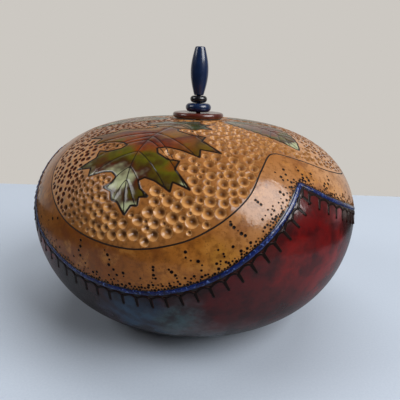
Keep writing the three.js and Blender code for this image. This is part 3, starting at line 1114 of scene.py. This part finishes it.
class Leaf:
    """A leaf on the lid laid flat, with its outline, its veins and its own directions."""

    def __init__(self, start, tip, width, kind, bend):
        self.start = np.array(start, float)
        self.run = np.array(tip, float) - self.start
        self.length = np.linalg.norm(self.run)
        self.square = np.array([self.run[1], -self.run[0]]) / self.length
        self.half = width / 2
        self.bend = bend
        side = leaf_side(kind)
        self.outline = self.laid(np.concatenate([side * (1, -1), side[-2:0:-1]]))
        self.veins = [self.laid(vein * (1, sign)) for vein in leaf_veins(kind)
                      for sign in (-1, 1)]
        rib = np.linspace(-0.02, 0.985, 40)
        self.rib = self.laid(np.stack([rib, 0 * rib], -1))

    def bow(self, along):
        """How far the rib bends aside along the leaf."""
        return self.bend * self.length * 4 * along * (1 - along)

    def laid(self, own):
        along, across = own.T
        aside = self.bow(along) + across * self.half
        return self.start + along[:, None] * self.run + aside[:, None] * self.square

    def own(self, laid):
        away = laid - self.start
        along = away @ self.run / self.length ** 2
        return along, (away @ self.square - self.bow(along)) / self.half

    def holds(self, laid):
        """Which points lie within the outline."""
        inside = np.zeros(len(laid), bool)
        start, end = self.outline, np.roll(self.outline, -1, 0)
        for (x0, y0), (x1, y1) in zip(start, end):
            if y0 != y1:
                crosses = (y0 > laid[:, 1]) != (y1 > laid[:, 1])
                at = x0 + (laid[:, 1] - y0) / (y1 - y0) * (x1 - x0)
                inside ^= crosses & (laid[:, 0] < at)
        return inside


def on_lid(laid):
    """Points of the lid's map for points in mm on the lid laid flat."""
    return lid_skin.at_arc(bearing_of(laid), np.hypot(*laid.T) * mm)


def laid_flat(flat):
    """The other way round."""
    arc = lid_skin.read(np.hypot(*flat.T), lid_skin.arc) / mm
    return pointing(bearing_of(flat)) * arc[:, None]


lid_skin = Skin(0.0, 'crown')
lid_hollow = Skin(shell_wall, 'crown')
lid_edge = sawn_edge(lid_skin, lid_hollow, 1)
leaf_set = [Leaf(*leaf) for leaf in leaves]
outlines = [on_lid(np.concatenate([leaf.outline, leaf.outline[:1]])) for leaf in leaf_set]
veins = [on_lid(line) for leaf in leaf_set for line in [leaf.rib, *leaf.veins]]
outline_trace, vein_trace = (
    np.concatenate([spaced(lid_skin, line, 0.2 * mm) for line in group])
    for group in (outlines, veins))

# Dimples, larger first: place at random, and keep each that is clear of the ones before.
# The burr is held at a slant, so each is deepest a little up the lid and to its right.
bare_middle = 17.6 * mm
carved_share = 0.45
pit_tries = 9000
pit_overlap = 0.88
pit_to_line = 0.75 * mm
pit_to_rim = 0.25 * mm
pit_turn = 150
pit_lean = 0.42
wide_pit = 1.4 * mm
chance = np.random.default_rng(5)
pit_places = np.zeros((0, 2))
pit_radii = np.zeros(0)
arc_column = lid_skin.arc[lid_skin.order]
area_column = np.concatenate([[0], np.cumsum(
    np.diff(arc_column) * lid_skin.radius[lid_skin.order][1:])])


def pit_bounds(bearing):
    """Smallest and largest radius of the dimples, and the land between them, by bearing."""
    stations = [
        # bearing, smallest, largest, land, in mm
        (-180, 1.2, 2.2, 0.3), (-130, 1.0, 1.6, 0.7), (-60, 1.0, 1.5, 0.6),
        (-34, 0.9, 1.6, 0.4), (-20, 1.3, 3.1, 0.05), (20, 1.3, 3.0, 0.0), (60, 1.2, 2.2, 0.5),
        (110, 1.2, 2.2, 0.7), (180, 1.2, 2.2, 0.3),
    ]
    columns = np.array(stations).T
    return [np.interp(bearing, columns[0], column) * mm for column in columns[1:]]


for shrink in (1.0, 0.82, 0.66, 0.5):
    arc = np.interp(chance.random(pit_tries) * area_column[-1] * carved_share, area_column,
                    arc_column)
    trial = lid_skin.at_arc(chance.uniform(-180, 180, pit_tries), arc)
    low, high, land = pit_bounds(bearing_of(trial))
    radius = np.maximum(low, high * shrink * chance.uniform(0.85, 1.0, pit_tries))
    scale = lid_skin.scale(trial)
    laid = laid_flat(trial)
    free = np.hypot(*laid.T) * mm > bare_middle
    for leaf in leaf_set:
        free &= ~leaf.holds(laid)
    free &= nearest(trial, outline_trace) > (radius + pit_to_line) * scale
    free &= nearest(trial, lid_edge[1]) > (radius + pit_to_rim) * scale
    free &= rim_gap(trial, lid_edge[0]) > 0
    for spot, reach, gap, growth in zip(trial[free], radius[free], land[free], scale[free]):
        far = np.hypot(*(pit_places - spot).T) / growth
        if np.all(far > pit_overlap * (pit_radii + reach) + gap):
            pit_places = np.vstack([pit_places, spot])
            pit_radii = np.append(pit_radii, reach)

pit_reach = pit_radii * lid_skin.scale(pit_places)
pit_bearing = bearing_of(pit_places)
pit_depth = pit_radii * np.interp(pit_bearing, [-180, -60, -30, 35, 70, 180],
                                  [0.8, 0.95, 0.95, 0.9, 0.6, 0.75])
pit_slant = pit_lean * pointing(pit_bearing + pit_turn)
pit_marks = [pit_places]
for wide, sides, shares in ((True, 16, (0.36, 0.62, 0.84, 0.96, 1.06)),
                            (False, 11, (0.45, 0.78, 0.96, 1.12))):
    chosen = (pit_radii > wide_pit) == wide
    for number, share in enumerate(shares):
        angle = 2 * math.pi * (np.arange(sides) + number % 2 / 2) / sides
        ring = np.stack([np.cos(angle), np.sin(angle)], -1) * share
        reach = pit_reach[chosen][:, None, None]
        pit_marks.append((pit_places[chosen][:, None] + ring * reach).reshape(-1, 2))
pit_marks = np.concatenate(pit_marks)


def thinned(skin, points, gap):
    """The points without those that lie within a real gap of an earlier one."""
    kept = []
    taken = {}
    reach = gap * skin.scale(points)
    for (x, y), cell in zip(points, reach):
        column, row = int(x // gap), int(y // gap)
        span = int(cell // gap) + 1
        close = (spot for i in range(column - span, column + span + 1)
                 for j in range(row - span, row + span + 1) for spot in taken.get((i, j), ()))
        if all(math.hypot(x - u, y - v) > cell for u, v in close):
            taken.setdefault((column, row), []).append((x, y))
            kept.append((x, y))
    return np.array(kept)


line_rows = [
    (spaced(lid_skin, line, line_mark_step), half)
    for group, half in ((outlines, line_half_width), (veins, vein_half_width))
    for line in group
]
line_marks = [row for row, _ in line_rows] + [
    beside(lid_skin, row, offset * half)
    for row, half in line_rows for offset in (-1, 1, -line_spread, line_spread)]
line_marks = thinned(lid_skin, np.concatenate(line_marks), line_mark_gap)
pit_marks = clear_of(lid_skin, pit_marks, line_marks, pit_mark_clear)
pit_marks = pit_marks[rim_gap(pit_marks, lid_edge[1]) > 0.002]
hole_angles = np.arange(hole_sides) * 360 / hole_sides
hole_ring = lid_skin.place(hole_angles, np.full(hole_sides, math.log(hole_radius)))
marks = np.concatenate([lid_edge[0], hole_ring, lid_edge[1],
                        thinned(lid_skin, pit_marks, pit_mark_gap), line_marks])
lid_spread = filling(lid_skin, lid_step, lid_edge[1], rim_clear, 2 * hole_radius, marks,
                     lid_clear)
lid_flat = np.concatenate([marks, lid_spread])

pit_tree = tree_of(pit_places)
lid_depth = np.zeros(len(lid_flat))
lid_pit = np.zeros(len(lid_flat))
for index, (x, y) in enumerate(lid_flat):
    for _, pit, _ in pit_tree.find_n((x, y, 0), 4):
        off = (np.array([x, y]) - pit_places[pit]) / pit_reach[pit] / 0.985
        share = math.hypot(*off)
        if share < 1:
            share = math.hypot(*(off - pit_slant[pit] * (1 - share ** 2)))
            sunk = (1 - share ** 2.2) * pit_depth[pit]
            lid_depth[index] = max(lid_depth[index], sunk)
            lid_pit[index] = max(lid_pit[index], 1 - share ** 2)
lid_line = np.zeros(len(lid_flat))
for trace, half, depth, tone in ((outline_trace, line_half_width, line_depth, 1.0),
                                 (vein_trace, vein_half_width, vein_depth, 0.9)):
    far = nearest(lid_flat, trace) / lid_skin.scale(lid_flat)
    lid_line = np.maximum(lid_line, tone * (1 - far / (line_spread * half)))
    lid_depth = np.maximum(lid_depth, depth * np.clip(1 - far / half, 0, 1))
lid_laid = laid_flat(lid_flat)
lid_leaf, lid_along, lid_across = np.zeros((3, len(lid_flat)))
for leaf in leaf_set:
    inside = leaf.holds(lid_laid)
    along, across = leaf.own(lid_laid[inside])
    lid_leaf[inside] = 1
    lid_along[inside] = along
    lid_across[inside] = np.abs(across)
lid_scorch = np.interp(bearing_of(lid_flat), [-180, -130, -90, -48, -22, 35, 65, 110, 180],
                       [0, 0.1, 0.5, 1, 0, 0, 0.7, 0.4, 0])
lid_shell = shell_piece(
    "lid_shell", lid_skin, lid_hollow, lid_flat, lid_depth,
    {'pit': lid_pit, 'line': lid_line, 'leaf': lid_leaf, 'along': lid_along,
     'across': lid_across, 'scorch': lid_scorch}, lid_edge, 1, hole_sides)

carved_varnish, tree = finish("carved_varnish", varnish)
ground = clouds(tree, 12, detail=5.0, roughness=0.6, seed=2.0)
tan_and_sheen = blend(ground, (118, 70, 26), (166, 108, 54))
tan_and_sheen = mottled(tan_and_sheen, [(2.2, 4, 6, 0.45, 0.7, 0.6, (94, 54, 20))])
# Two paler patches, at the left and the upper right, are painted sheen where the windows'
# reflections fall
tan_and_sheen = patched(wandering(tree), tan_and_sheen, [
    (-50, 104, 34, (178, 128, 84)), (62, 114, 36, (184, 134, 92))])
pit = field(tree, 'pit')
# Dimples: painted pale towards their rim and darker towards their deepest point, which lies up
# the lid and to the right; painted light and shade over the carved rind's own colour
dug_painted_light_and_shade = blend(clouds(tree, 5, detail=3.0, seed=8.0), (154, 100, 46), (210, 156, 96))
dug_painted_light_and_shade = blend(rising(pit, 0.35, 0.85, 0.65), dug_painted_light_and_shade, (128, 76, 30))
dug_painted_light_and_shade = blend(rising(pit, 0.7, 1.0, 0.45), dug_painted_light_and_shade, (78, 40, 18))
dug_painted_light_and_shade = blend(rising(field(tree, 'scorch'), 0.1, 0.9), dug_painted_light_and_shade, (70, 30, 16))
carved = blend(rising(pit, 0.01, 0.06), tan_and_sheen, dug_painted_light_and_shade)
drift = clouds(tree, 16, detail=3.0, roughness=0.5, seed=12.0)
drift = maths('MULTIPLY', maths('SUBTRACT', drift, 0.5), 0.8)
along = maths('ADD', field(tree, 'along'), drift)
tint = ramp(along, [
    (0.04, (86, 94, 82)), (0.2, (52, 58, 18)), (0.34, (120, 74, 2)), (0.46, (74, 12, 4)),
    (0.56, (114, 46, 2)), (0.68, (80, 76, 2)), (0.8, (52, 14, 6))])
tint = blend(rising(field(tree, 'across'), 0.25, 0.9, 0.6), tint, (76, 74, 2))
tint = mottled(tint, [
    (15, 2, 25, 0.5, 0.7, 0.7, (80, 18, 10)), (5, 3, 15, 0.45, 0.8, 0.5, (36, 32, 10))])
tint = blend(rising(along, 0.78, 0.92, 0.95), tint, (168, 172, 132))
colour = blend(rising(field(tree, 'leaf'), 0.3, 0.7), carved, tint)
colour = blend(rising(field(tree, 'line'), 0.36, 0.7), colour, char_black)
colour = blend(rising(field(tree, 'lip'), 0.3, 0.8), colour, lip_black)
dress(tree, colour, bumped(clouds(tree, 1.0), 0.06, 0.5))

for material in (carved_varnish, sawn_rind, scraped_inside):
    lid_shell.data.materials.append(material)
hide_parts("gourd_lid")
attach(lid_shell, "lid")


# Knob: a turned disc of red-brown wood under three polished stone beads, threaded on a long
# brass screw: a navy rondelle, a small black bead and a long navy barrel.
bore_radius = 1.8 * mm
bead_corner = 0.25 * mm


def turned_piece(name, node, section, sides, material):
    """Turned piece of the lid, set on the foot of the solid that it stands for."""
    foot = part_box(node)[0].z
    section = [(radius, foot + height) for radius, height in section]
    piece = new_piece(name, *turned(section, sides))
    piece.data.shade_smooth()
    piece.data.set_sharp_from_angle(angle=crease_angle)
    piece.data.materials.append(material)
    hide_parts(node)
    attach(piece, "lid")


def bead_section(side, height, corner):
    """Section of a bead with flat ends, from its bore outwards and along its side."""
    return [(bore_radius, corner), (bore_radius + corner, 0.0), *side,
            (bore_radius + corner, height), (bore_radius, height - corner)]


polished_wood, tree = finish("polished_wood", {
    'Roughness': 0.3, 'Coat Weight': 0.8, 'Coat Roughness': 0.08})
grain = clouds(tree, 5, detail=6.0, roughness=0.65, stretch=(0.25, 1.6, 1.6), warp=0.6)
pores = clouds(tree, 0.7, detail=2.0, stretch=(0.2, 1, 1), seed=3.0)
wood = blend(grain, (46, 13, 9), (108, 43, 27))
wood = blend(rising(pores, 0.56, 0.7, 0.6), wood, (38, 12, 8))
dress(tree, wood, bumped(pores, 0.05, 0.4))


def polished_stone(name, dark, light, fleck):
    """Stone with soft clouds and a few small flecks, under its polish."""
    material, tree = finish(name, {
        'Roughness': 0.35, 'Specular IOR Level': 0.4, 'Coat Weight': 0.8, 'Coat Roughness': 0.14})
    stone = blend(clouds(tree, 4, detail=6.0, roughness=0.7), dark, light)
    dress(tree, mottled(stone, [(0.9, 2, 4, 0.66, 0.76, 0.5, fleck)]))
    return material


navy_stone = polished_stone("navy_stone", (6, 18, 44), (18, 44, 86), (80, 100, 140))
black_stone = polished_stone("black_stone", (6, 6, 10), (20, 20, 30), (60, 60, 72))

round_pieces = [
    # piece, its solid, radius, flat ends' radius and height in mm, sides, finish, slot
    ("turned_disc", "knob_disc", 16.7, 14.9, 3.6, 96, polished_wood, "turned_wood"),
    ("navy_rondelle", "base_bead", 8.35, 5.6, 5.5, 72, navy_stone, "navy_stone"),
    ("black_bead", "spacer_bead", 5.55, 3.3, 4.5, 60, black_stone, "black_stone"),
]
for name, node, radius, flat_radius, height, sides, material, slot in round_pieces:
    swell = radius * mm - flat_radius * mm
    side = [(flat_radius * mm + swell * math.cos(turn), height * mm / 2 * (1 + math.sin(turn)))
            for turn in np.linspace(-math.pi / 2, math.pi / 2, 13)]
    section = bead_section(side, height * mm, bead_corner)
    turned_piece(name, node, section, sides, material)

barrel_radius = 5.7 * mm
barrel_end_radius = 3.2 * mm
barrel_height = 29.6 * mm
barrel_corner = 0.35 * mm
barrel_swell = barrel_radius - barrel_end_radius
barrel_side = [
    (barrel_end_radius + barrel_swell * math.sin(math.pi * share),
     barrel_corner + (barrel_height - 2 * barrel_corner) * share)
    for share in np.linspace(0, 1, 29)
]
barrel_edge = barrel_end_radius - barrel_corner
barrel_side = [(barrel_edge, 0.0), *barrel_side, (barrel_edge, barrel_height)]
barrel_section = bead_section(barrel_side, barrel_height, barrel_corner)
turned_piece("navy_barrel", "barrel_bead", barrel_section, 72, navy_stone)


# Screw and washer: a long brass machine screw that comes up from inside the lid, through a
# thin washer, and is glued into the barrel bead. Its head shows under the lid.
screw_radius = 1.5 * mm
screw_point = 0.4 * mm
head_radius = 3 * mm
head_face_radius = 2.1 * mm
head_height = 2.2 * mm
head_rounding = 1 * mm
driver_radius = 1.1 * mm
driver_depth = 1.1 * mm
washer_radius = 6 * mm
washer_thickness = 1 * mm
washer_edge = 0.2 * mm

brass, tree = finish("plain_brass", {'Metallic': 1.0, 'Roughness': 0.32})
tarnish = clouds(tree, 1.5, detail=4.0)
dress(tree, blend(tarnish, (150, 112, 52), (206, 168, 96)), bumped(tarnish, 0.05, 0.4))

turned_piece("brass_washer", "knob_washer", [
    (bore_radius, 0.0), (washer_radius - washer_edge, 0.0), (washer_radius, washer_edge),
    (washer_radius, washer_thickness - washer_edge),
    (washer_radius - washer_edge, washer_thickness), (bore_radius, washer_thickness),
], 64, brass)

screw_foot, screw_tip = (corner.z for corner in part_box("knob_screw"))
screw_length = screw_tip - screw_foot
head_side = [
    (head_face_radius + (head_radius - head_face_radius) * math.sin(turn),
     head_rounding * (1 - math.cos(turn)))
    for turn in np.linspace(0, math.pi / 2, 7)
]
turned_piece("brass_screw", "knob_screw", [
    (0.0, driver_depth), (driver_radius * 0.8, driver_depth), (driver_radius, 0.0), *head_side,
    (head_radius, head_height), (screw_radius, head_height),
    (screw_radius, screw_length - screw_point), (screw_radius - screw_point, screw_length),
    (0.0, screw_length),
], 48, brass)

low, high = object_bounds()
